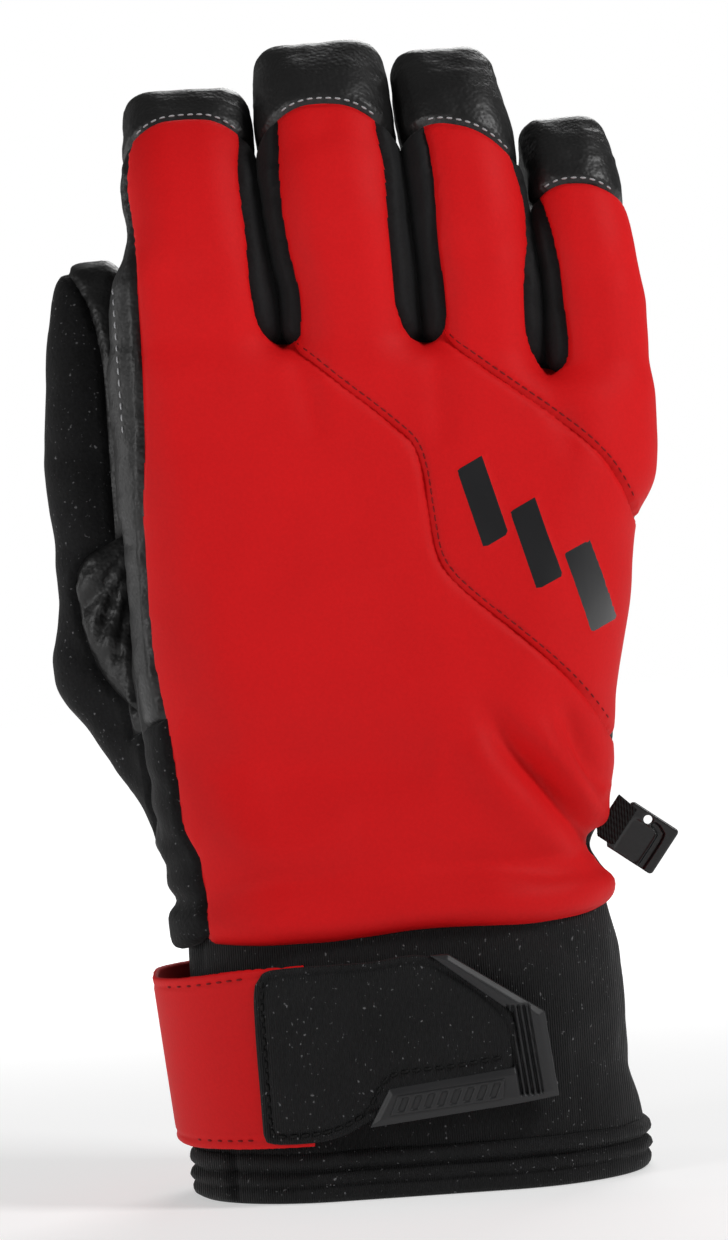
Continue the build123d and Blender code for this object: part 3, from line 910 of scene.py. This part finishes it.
# ---------------------------------------------------------------- the skin
skin, quads = surface_net(glove, (*FORM_LOW, 48), FORM_HIGH, VOXEL)
skin_faces = triangles(skin, quads)
skin, _ = settle(glove, skin)
sides = {}
for name in CUTS:
    skin, skin_faces, sides = cut(skin, skin_faces, sides, name)
    ok = has_area(skin, skin_faces)
    skin_faces, sides = skin_faces[ok], {k: side[ok] for k, side in sides.items()}
labels = label_faces(sides)
keep = sides["mouth"]
skin_faces, labels, sides = skin_faces[keep], labels[keep], {k: side[keep] for k, side in sides.items()}
skin, normals = settle(glove, skin, 1)
zone = zones_of(sides, skin, skin_faces)
skin = sculpt(skin, skin_faces, labels, normals)
SURFACE_OF = {
    "index_panel": "red_softshell",
    "band_panel": "red_softshell",
    "outer_panel": "red_softshell",
    "fork": "black_softshell",
    "soft": "suede",
    "emblem": "gloss_transfer",
}
for n, label in enumerate(LABELS):
    of_label = labels == n
    label_normals = point_normals(skin, skin_faces[of_label])
    for part in sorted(set(zone[of_label])):
        used, index = np.unique(skin_faces[of_label & (zone == part)], return_inverse=True)
        surface = SURFACE_OF.get(label, "black_leather")
        piece(f"{label}_{part}", skin[used], index.reshape(-1, 3), surface, part, label_normals[used])


def solid(name, field, low, high, step, material, zone):
    """One closed object from a distance field."""
    v, quads = surface_net(field, low, high, step)
    v, normals = settle(field, v, 1)
    return piece(name, v, quads, material, zone, normals)


def slab(outer, inner, level, sides, round_by):
    """Distance from a sheet between two levels of one field, trimmed by another and rounded at its edges."""
    return soft_max(np.abs(level - (outer + inner) / 2) - (outer - inner) / 2, sides, round_by)


# ---------------------------------------------------------------- cuff
CUFF_LEFT = curve([(0, -50.2), (8, -50), (20, -49.4), (42, -49), (52, -49.5), (60, -49.2), (68, -48.5)])
CUFF_RIGHT = curve(
    [(0, 50.2), (8, 50), (15, 49.2), (23, 47.4), (32, 47.3), (41, 47.8), (50, 46.3), (58, 45.2), (68, 43.4)]
)
CUFF_FRONT = curve([(0, 33), (46, 32.8), (56, 29.8), (68, 27.2)])
CUFF_BACK = curve([(0, 33), (42, 32.6), (56, 28.0), (68, 25.6)])


CUFF_EDGES = (CUFF_LEFT, CUFF_RIGHT, CUFF_FRONT, CUFF_BACK)
CUFF_FULLNESS = 0.95
# round the cuff from the middle of its front: where each leg starts, and which way the straight legs run
LEG_STARTS = np.array([(0, -1), (-1, -1), (-1, -1), (-1, 1), (-1, 1), (1, 1), (1, 1), (1, -1), (1, -1)])
LEG_WAYS = np.array([(-1, 0), (0, 0), (0, 1), (0, 0), (1, 0), (0, 0), (0, -1), (0, 0), (-1, 0)])


def cuff_section(x, y, z):
    return rounded_section(x, y, z, CUFF_EDGES, CUFF_FULLNESS)


def cuff_ring(z, offset, count):
    """Points and outward normals round the cuff at one height, evenly spaced from the middle of the front."""
    lo, hi, front, back = (float(edge(z)) for edge in CUFF_EDGES)
    hx, hy = (hi - lo) / 2, (front + back) / 2
    r = CUFF_FULLNESS * hy
    run, bend = hx - r, hy - r
    arc = r * math.pi / 2
    stops = np.cumsum([0, run, arc, 2 * bend, arc, 2 * run, arc, 2 * bend, arc, run])
    s = np.linspace(0, stops[-1], count, endpoint=False)
    leg = np.clip(np.searchsorted(stops, s, side="right") - 1, 0, 8)
    past = s - stops[leg]
    angle = np.where(leg % 2 == 1, past / r, 0) + leg // 2 * math.pi / 2
    out = np.stack([np.sin(-angle), -np.cos(angle)], 1)
    base = LEG_STARTS[leg] * (run, bend) + past[:, None] * LEG_WAYS[leg]
    p = base + out * (r + offset) + ((lo + hi) / 2, (back - front) / 2)
    return np.column_stack([p, np.full(count, float(z))]), np.column_stack([out, np.zeros(count)])


def cuff_skin(name, rows, bulge, material, zone, count=420):
    """A closed band round the cuff through rows of (height, offset), whose points bulge moves outwards."""
    rings = [cuff_ring(z, offset, count) for z, offset in rows]
    v = np.concatenate([ring[0] for ring in rings])
    out = np.concatenate([ring[1] for ring in rings])
    v = v + out * bulge(v)[:, None]
    n = np.arange(count)
    ring = np.stack([n, (n + 1) % count, (n + 1) % count + count, n + count], 1)
    faces = np.concatenate([ring + k * count for k in range(len(rows) - 1)])
    return piece(name, v, faces, material, zone)


def knit_bulge(p):
    x, y, z = p.T
    out = 0.45 * noise(p, (14, 14, 8), 2.7) + 0.2 * noise(p, 5, 8.1)
    out += np.where(y < 0, stroke(p, [(14, 66), (26, 60), (40, 54), (49, 46)], 3, 0.7), 0)
    out += np.where(y < 0, stroke(p, [(20, 60), (32, 53), (46, 42)], 2.6, -0.6), 0)
    out += np.where(y < 0, stroke(p, [(34, 32), (42, 27), (49, 24)], 3.5, -0.8), 0)
    out -= 0.5 * np.exp(-((y / 0.7) ** 2)) * (z > 12)
    out -= 0.9 * np.exp(-(((x + 46.5) / 1.2) ** 2)) * (y < 0) * ramp(z, 50, 52)
    out *= 1 - 0.75 * ramp(z, 11, 15) * (1 - ramp(z, 50, 54)) * (x < 34) * (y < 0)
    return out


def hem_bulge(p):
    x, y, z = p.T
    out = 0.22 * noise(p, (7, 7, 3), 1.3) + 0.12 * noise(p, (3, 3, 9), 4.7)
    out += np.where((x < -40) & (y < 4), 0.9 * ramp(-x, 41, 44), 0)
    out -= 0.9 * np.exp(-(((x + 41.8) / 0.7) ** 2)) * (y < 0)
    return out * ramp(z, 0, 1.5)


wall_rows = [(z, 0.0) for z in np.arange(67, 11, -0.9)] + [(10.9, -0.1), (10.4, -0.5), (10.0, -1.2)]
cuff_knit = cuff_skin("cuff_knit_wall", wall_rows, knit_bulge, "neoprene", "wrist")
hem_rows = [
    (10.4, -1.6), (11.0, -0.6), (10.9, 0.3), (10.4, 0.9), (9.8, 1.35), (9.0, 1.5), (8.3, 1.3), (7.7, 0.7),
    (7.3, 0.0), (7.0, -0.35), (6.7, 0.0), (6.3, 0.7), (5.7, 1.25), (5.0, 1.4), (4.4, 1.0), (3.9, 0.4),
    (3.6, 0.3), (3.2, 0.65), (2.5, 0.95), (1.8, 0.9), (1.1, 0.7), (0.5, 0.25), (0.1, -0.4), (0.0, -1.1),
    (0.2, -1.8), (0.8, -2.3), (1.8, -2.5), (3.5, -2.5), (6, -2.4),
]
hem = cuff_skin("cuff_hem_roll", hem_rows, hem_bulge, "neoprene", "cuff")
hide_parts("cuff_back_panel", "cuff_palm_panel", "wrist_flex_zone")
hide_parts("cuff_hem_binding")


# ---------------------------------------------------------------- lining
def lining_field(x, y, z):
    hand_space = glove(x, y, z) + 4.4
    return soft_min(hand_space, soft_max(cuff_section(x, y, z) + 2.7, z - 72, 4), 3)


lining, lining_quads = surface_net(lining_field, (*FORM_LOW, -6), FORM_HIGH, 2.0)
lining, lining_normals = settle(lining_field, lining, 1)
lining = lining + lining_normals * (0.35 * noise(lining, 9, 3.9))[:, None]
middle = lining[lining_quads].mean(1)
lining_zone = np.full(len(middle), "hand", dtype=object)
which = finger_at(*middle.T)
for n, name in enumerate(FINGERS):
    lining_zone[(middle[:, 2] > FINGERS_ABOVE) & (which == n)] = name
lining_zone[(middle[:, 2] > 112) & (thumb_part(*middle.T) < hand_part(*middle.T))] = "thumb"
lining_zone[middle[:, 2] < 76] = "wrist"
lining_zone[middle[:, 2] < 42] = "cuff"
lining_zone[middle[:, 2] < 2.4] = "none"
for part in ("cuff", "wrist", "hand", "thumb", *FINGERS):
    used, index = np.unique(lining_quads[lining_zone == part][:, ::-1], return_inverse=True)
    piece(f"lining_{part}", lining[used], index.reshape(-1, 4), "fleece", part, -lining_normals[used])


# ---------------------------------------------------------------- strap
def strap_level(x, y, z):
    """Distance outwards from the strap's outer face."""
    left = -58 + 0.085 * np.clip(50 - z, 0, 40)
    return rounded_box(x - (left + 53) / 2, y, (53 - left) / 2, 36.4, 34.9)


STRAP_UPPER = curve([(-58, 49.8), (-50, 50.5), (-35, 52), (-24, 52.2), (20, 51)])
STRAP_LOWER = curve([(-58, 13.6), (-50, 12.4), (-34, 12.6), (-22, 12.8), (20, 14)])
COVER = dense(
    [(-34.6, 16), (-34.8, 40), (-34.2, 48.5), (-32.5, 50.9), (-28, 51.9), (-10, 52), (5, 52), (20.5, 39.6),
     (20.5, 22), (0, 19), (-11, 17.5), (-16, 15.2), (-22, 13.8), (-31, 13.6), (-34, 14.2)]
)
TAB = [
    (4.2, 52.6), (8.2, 52.6), (28.3, 38.8), (30.2, 20.2), (21, 19.2), (-11.4, 16.2), (-6.6, 24.4),
    (20.9, 27.2), (21.5, 38.8),
]
BADGE = [(-6.8, 18.6), (18.0, 20.6), (18.6, 25.0), (-4.8, 22.9)]


def band_field(x, y, z):
    level = strap_level(x, y, z)
    edge = np.maximum(z - STRAP_UPPER(x), STRAP_LOWER(x) - z)
    rear = np.maximum(z - 51, 13 - z)
    edge = edge + (rear - edge) * ramp(y, -8, 8)
    end = np.where(y < 0, x - 20, x + 12)
    hidden = np.minimum(outline_distance(COVER, x, z), outline_distance(TAB, x, z)) + 1.0
    edge = np.where((y < 0) & (x > -23), np.maximum(edge, hidden), edge)
    sewn = 0.28 * np.exp(-(((edge + 2.0) / 0.5) ** 2))
    return slab(0, -1.6, level + sewn * (level > -0.8), np.maximum(edge, end), 0.9)


def cover_field(x, y, z):
    level = strap_level(x, y, z)
    edge = outline_distance(COVER, x, z)
    sewn = 0.5 * np.exp(-(((edge + 2.0) / 0.6) ** 2))
    puff = 0.35 * ramp(-edge, 0, 4)
    return np.where(y < 0, slab(1.25, -0.1, level + sewn - puff, edge, 0.7), 9.0)


def tab_field(x, y, z):
    level = strap_level(x, y, z)
    edge = outline_distance(TAB, x, z)
    across = x + 0.1 * (z - 30)
    ribbed = ramp(across, 20.6, 21.2) * (1 - ramp(across, 25.6, 26.2)) * ramp(z, 20.6, 21.6)
    ribbed = ribbed * (1 - ramp(z, 40, 41))
    ribs = ribbed * (0.25 + 1.1 * (0.5 + 0.5 * np.cos(2 * math.pi * (across - 21.2) / 1.2)))
    facet = 0.7 * ramp(edge, -1.5, 0)
    return np.where(y < 0, slab(2.5, 0.3, level + ribs + facet, edge, 0.35), 9.0)


def badge_field(x, y, z):
    level = strap_level(x, y, z)
    edge = outline_distance(BADGE, x, z)
    lean = (x - 0.45 * (z - 20)) / 2.75
    bar = ramp(np.abs(lean - np.round(lean)), 0.2, 0.3)
    inner = ramp(-edge, 0.5, 0.8)
    return np.where(y < 0, slab(2.9, 1.6, level + 0.45 * bar * inner, edge, 0.4), 9.0)


def patch_field(outline, outer, inner):
    def field(x, y, z):
        edge = outline_distance(outline, x, z)
        rough = 0.12 * noise(np.stack([x.ravel(), y.ravel(), z.ravel()], 1), 1.3).reshape(np.shape(x))
        return np.where(y < 0, slab(outer, inner, strap_level(x, y, z) + rough, edge, 0.3), 9.0)

    return field


HOOKS = [(-18, 21), (19, 21), (19, 41), (-18, 41)]
LOOPS = [(-26, 21), (27.5, 21), (26, 39), (-26, 41)]
hook_tape_field = patch_field(HOOKS, -1.5, -2.45)
loop_tape_field = patch_field(LOOPS, -2.7, -3.5)
band_box = (-62, -40, 9), (23, 40, 56)
cover_box = (-38, -41, 11), (30, -30, 55)
tab_box = (-14, -41, 14), (33, -30, 55)
badge_box = (-9, -41, 17), (21, -35, 27)
hook_tape_box = (-20, -37, 18), (21, -32, 43)
loop_tape_box = (-29, -37, 14), (37, -28, 43)
band = solid("strap_band_fabric", band_field, *band_box, 0.8, "strap_fabric", "strap_bend")
cover = solid("strap_knit_cover", cover_field, *cover_box, 0.45, "neoprene", "strap")
tab = solid("strap_pull_tab", tab_field, *tab_box, 0.35, "tab_rubber", "strap")
badge = solid("tab_badge_ribs", badge_field, *badge_box, 0.3, "tab_rubber", "strap")
hooks = solid("hook_tape", hook_tape_field, *hook_tape_box, 0.5, "hook_loop", "strap")
loops = solid("loop_tape", loop_tape_field, *loop_tape_box, 0.5, "hook_loop", "cuff")
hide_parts("strap_band", "strap_anchor")
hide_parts("strap_cover")
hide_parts("pull_tab")
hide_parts("tab_badge")
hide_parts("hook_patch")
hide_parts("loop_patch")


# ---------------------------------------------------------------- clip
TURN_DOWN = math.radians(37)
CLIP_ROOT = (46, 80.5)


def clip_place(x, z):
    """Position along and across the clip, from its root."""
    dx, dz = x - CLIP_ROOT[0], z - CLIP_ROOT[1]
    c, s = math.cos(TURN_DOWN), math.sin(TURN_DOWN)
    return dx * c - dz * s, dx * s + dz * c


SLOT_LINE = dense([(11.8, 2.6), (12.6, 2.5), (13.6, 1.9), (14.2, 0.8), (14.2, -8)], 0.5)


def hook_field(x, y, z):
    u, w = clip_place(x, z)
    plate = rounded_box(u - 10.9, w + 1.2, 6.3, 5.9, 0.9)
    hole = np.hypot(u - 9.8, w - 3) - 1.0
    slot = np.abs(line_distance(SLOT_LINE, u, w)) - 0.7
    outline = np.maximum(plate, -hole)
    tongue = 0.25 * ramp(-rounded_box(u - 10.0, w + 2.6, 3.4, 4.6, 1.5), 0, 0.4)
    half = 1.2 - 0.75 * (1 - ramp(slot, -0.15, 0.2)) - tongue
    return soft_max(outline, np.abs(y) - half, 0.5)


def webbing_field(x, y, z):
    u, w = clip_place(x, z)
    shape = np.maximum.reduce([u - 6.6, 1.3 - u, w - 4.4 + 0.12 * u, -6.3 - w])
    ribs = 0.1 * np.sin(2 * math.pi * w / 1.3)
    return soft_max(shape, np.abs(y) - 1.5 + ribs, 0.6)


hook = solid("clip_hook_plate", hook_field, (46, -2.5, 60), (68, 2.5, 86), 0.25, "black_plastic", "clip")
web = solid("clip_webbing_loop", webbing_field, (44, -2.6, 72), (56, 2.6, 88), 0.25, "webbing", "clip_root")
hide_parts("clip_hook")
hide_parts("clip_webbing")


# ---------------------------------------------------------------- stitches
STITCH_RING = 6
STITCH_ROWS = [(-1, 0.35), (-0.7, 0.85), (0, 1.0), (0.7, 0.85), (1, 0.35)]
TO_FRONT = Vector((0, -1, 0))
MEET_RAY = 0.12


def stitch(start, end, radius, half):
    """The points of one thick thread between two places on a surface, each a point and a normal."""
    out = (start[1] + end[1]).normalized()
    center = (start[0] + end[0]) / 2 + out * radius * 0.35
    ahead = (end[0] - start[0]).normalized()
    side = ahead.cross(out).normalized()
    out = side.cross(ahead)
    points = []
    for at, wide in STITCH_ROWS:
        dip = -radius * 0.6 * at**2
        for k in range(STITCH_RING):
            a = 2 * math.pi * k / STITCH_RING
            across = side * (math.cos(a) * wide * radius) + out * (math.sin(a) * wide * radius + dip)
            points.append(center + ahead * (at * half) + across)
    return points


def stitch_faces(base):
    faces = []
    for row in range(base, base + (len(STITCH_ROWS) - 1) * STITCH_RING, STITCH_RING):
        for k in range(STITCH_RING):
            a, b = row + k, row + (k + 1) % STITCH_RING
            faces.append((a, b, b + STITCH_RING, a + STITCH_RING))
    last = base + (len(STITCH_ROWS) - 1) * STITCH_RING
    faces.append(range(base, base + STITCH_RING)[::-1])
    faces.append(range(last, last + STITCH_RING))
    return faces


def thread(name, surface, path, material, zone, pitch=2.5, length=1.7, radius=0.3):
    """A row of stitches along a line in the XZ plane, laid on a surface seen from the front."""
    line = np.array(path, float)
    run = np.concatenate([[0], np.cumsum(np.hypot(*np.diff(line, axis=0).T))])
    verts, faces = [], []
    half = length / 2
    for s in np.arange(pitch / 2, run[-1], pitch):
        ends = []
        for t in (s - half, s + half):
            x, z = np.interp(t, run, line[:, 0]), np.interp(t, run, line[:, 1])
            ends.append(surface.ray_cast(Vector((x, 0, z)) + TO_FRONT * 90, -TO_FRONT))
        start, end = ends
        if start[0] is None or end[0] is None or (start[0] - end[0]).length > 2.2 * length:
            continue
        if (start[1] + end[1]).normalized().dot(TO_FRONT) < MEET_RAY:
            continue
        faces += stitch_faces(len(verts))
        verts += stitch(start, end, radius, half)
    new_object(name, smooth_mesh(name, verts, faces), material, zone)


def beside(points, gap):
    """A line moved sideways by gap."""
    p = np.array(points, float)
    way = np.gradient(p, axis=0)
    way = way / np.maximum(np.hypot(*way.T), 1e-9)[:, None]
    return p + np.stack([-way[:, 1], way[:, 0]], 1) * gap


def tree_of(v, f):
    return BVHTree.FromPolygons([tuple(p) for p in v], [tuple(int(c) for c in q) for q in f])


def tree_of_piece(obj):
    mesh = obj.data
    v = np.empty(len(mesh.vertices) * 3)
    mesh.vertices.foreach_get("co", v)
    return tree_of(v.reshape(-1, 3) / MM, [p.vertices for p in mesh.polygons])


skin_tree = tree_of(skin, skin_faces)
for n, seam in ((1, SEAM_ONE), (2, SEAM_TWO)):
    inside = [p for p in seam if p[0] < HAND_RIGHT(p[1]) - 2 and p[1] < 190]
    thread(f"seam_{n}_thread", skin_tree, beside(inside, 1.1), "red_thread", "hand", 2.0, 1.55, 0.2)
REDS = [LABELS.index(name) for name in ("index_panel", "band_panel", "outer_panel")]
cap_points = np.unique(skin_faces[labels == LABELS.index("cap")])
red_points = np.unique(skin_faces[np.isin(labels, REDS)])
border = skin[np.intersect1d(cap_points, red_points)]
for n, name in enumerate(FINGERS):
    own = border[column(border[:, 0], border[:, 2]) == n]
    own = own[np.argsort(own[:, 0])]
    bins = np.arange(own[0, 0] + 0.7, own[-1, 0] - 0.3, 1.6)
    path = [(x, np.interp(x, own[:, 0], own[:, 2]) + 1.3) for x in bins]
    thread(f"cap_thread_{name}", skin_tree, path, "silver_thread", name, 2.1, 1.35, 0.24)
thread("index_side_thread", skin_tree, [(-55.6, 171), (-55.8, 204)], "silver_thread", "index", 2.6, 1.6, 0.22)
band_tree, cover_tree = tree_of_piece(band), tree_of_piece(cover)
for row, (edge, inset) in enumerate(((STRAP_UPPER, -2.0), (STRAP_LOWER, 2.0))):
    path = [(x, float(edge(x)) + inset) for x in np.arange(-57, -35.5, 1.0)]
    thread(f"strap_thread_{row}", band_tree, path, "red_thread", "strap", 2.3, 1.5, 0.25)
COVER_EDGE = dense(
    [(-32.7, 50), (-32.8, 40), (-32.6, 16), (-31, 15.4), (-22, 15.7), (-16, 17.2), (-11.5, 20), (-8.4, 25),
     (-5, 27.6), (8, 28.4), (19, 29.6)]
)
thread("cover_thread", cover_tree, COVER_EDGE, "dark_thread", "strap", 2.5, 1.9, 0.45)


# the piece that stands for each node
REPLACED = {
    "back_panel_index": "index_panel_hand",
    "back_panel_band": "band_panel_hand",
    "back_panel_outer": "outer_panel_hand",
    "band_emblem": "emblem_hand",
    "palm_panel": "palm_hand",
    "thumb_crotch_overlay": "overlay_thumb",
    "thumb_gusset": "soft_hand",
    "hand_liner": "lining_hand",
    "finger_crotch_web": "lining_hand",
    "cuff_lining": "lining_cuff",
    "thumb_back": "soft_thumb",
    "thumb_palm": "thumb_palm_thumb",
    "thumb_sidewalls": "thumb_palm_thumb",
    "thumb_cap": "thumb_palm_thumb",
    "thumb_liner": "lining_thumb",
    "thumb_flex_zone": "soft_thumb",
}
BACK_OF = {"index": "index_panel", "middle": "index_panel", "ring": "band_panel", "little": "band_panel"}
for name in FINGERS:
    REPLACED[f"{name}_back"] = f"{BACK_OF[name]}_{name}"
    REPLACED[f"{name}_palm"] = f"palm_{name}"
    REPLACED[f"{name}_flex_zone"] = f"palm_{name}"
    REPLACED[f"{name}_sidewalls"] = f"fork_{name}"
    REPLACED[f"{name}_cap"] = f"cap_{name}"
    REPLACED[f"{name}_liner"] = f"lining_{name}"
for node, name in REPLACED.items():
    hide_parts(node)


# ---------------------------------------------------------------- camera, floor and lights
VIEW_HEIGHT = 279
VIEW_MIDDLE = (-4.934, 126.202)
ROLL = 4
FLOOR_REACH = 6
WHITE = (1, 1, 1, 1)
PALE = (0.6, 0.6, 0.6, 1)
AIM = Vector((0, 0, 0.13))
# place in metres, size in metres and power
LAMPS = (
    ((0.62, -0.38, 0.72), 0.2, 4.7),
    ((-0.65, -0.5, 0.3), 0.2, 1.6),
    ((0.15, 0.7, 0.75), 0.4, 3.5),
    ((-0.75, 0.25, 0.3), 0.3, 0.6),
)

cam_data = bpy.data.cameras.new("camera")
cam = bpy.data.objects.new("camera", cam_data)
bpy.context.collection.objects.link(cam)
bpy.context.scene.camera = cam
cam_data.lens = 135
cam_data.sensor_width = 36
distance = VIEW_HEIGHT * cam_data.lens / cam_data.sensor_width
cam.location = Vector((VIEW_MIDDLE[0], -distance, VIEW_MIDDLE[1])) * MM
cam.rotation_euler = (math.radians(90), math.radians(ROLL), 0)
bpy.context.scene.view_settings.view_transform = "Standard"

floor = bpy.data.objects.new("floor", bpy.data.meshes.new("floor"))
floor_corners = [(x * FLOOR_REACH, y * FLOOR_REACH, 0) for x, y in ((-1, -1), (1, -1), (1, 1), (-1, 1))]
floor.data.from_pydata(floor_corners, [], [(0, 1, 2, 3)])
bpy.context.collection.objects.link(floor)
paint = bpy.data.materials.new("pale floor")
paint.use_nodes = True
tree = paint.node_tree
place = add_node(tree, "TexCoord").outputs["Object"]
reach = add_node(tree, "VectorMath", sources={0: place}, operation="LENGTH").outputs["Value"]
fade = {"From Min": 0.15, "From Max": 0.9, "To Min": 0.45, "To Max": 1.0}
glow = add_node(tree, "MapRange", fade, {"Value": reach}, interpolation_type="SMOOTHSTEP").outputs["Result"]
values = {"Base Color": PALE, "Roughness": 0.9, "Specular IOR Level": 0.1, "Emission Color": WHITE}
fill(tree, tree.nodes["Principled BSDF"], values, {"Emission Strength": glow})
floor.data.materials.append(paint)

for place, size, power in LAMPS:
    lamp = bpy.data.lights.new("lamp", "AREA")
    lamp.size, lamp.energy = size, power
    holder = bpy.data.objects.new("lamp", lamp)
    bpy.context.collection.objects.link(holder)
    holder.location = place
    holder.rotation_euler = (AIM - Vector(place)).to_track_quat("-Z", "Y").to_euler()

world = bpy.data.worlds.new("world")
bpy.context.scene.world = world
world.use_nodes = True
tree = world.node_tree
seen = add_node(tree, "LightPath").outputs["Is Camera Ray"]
strength = {"Strength": rescale(tree, seen, start=0.12, end=1.0)}
fill(tree, tree.nodes["Background"], {"Color": WHITE}, strength)
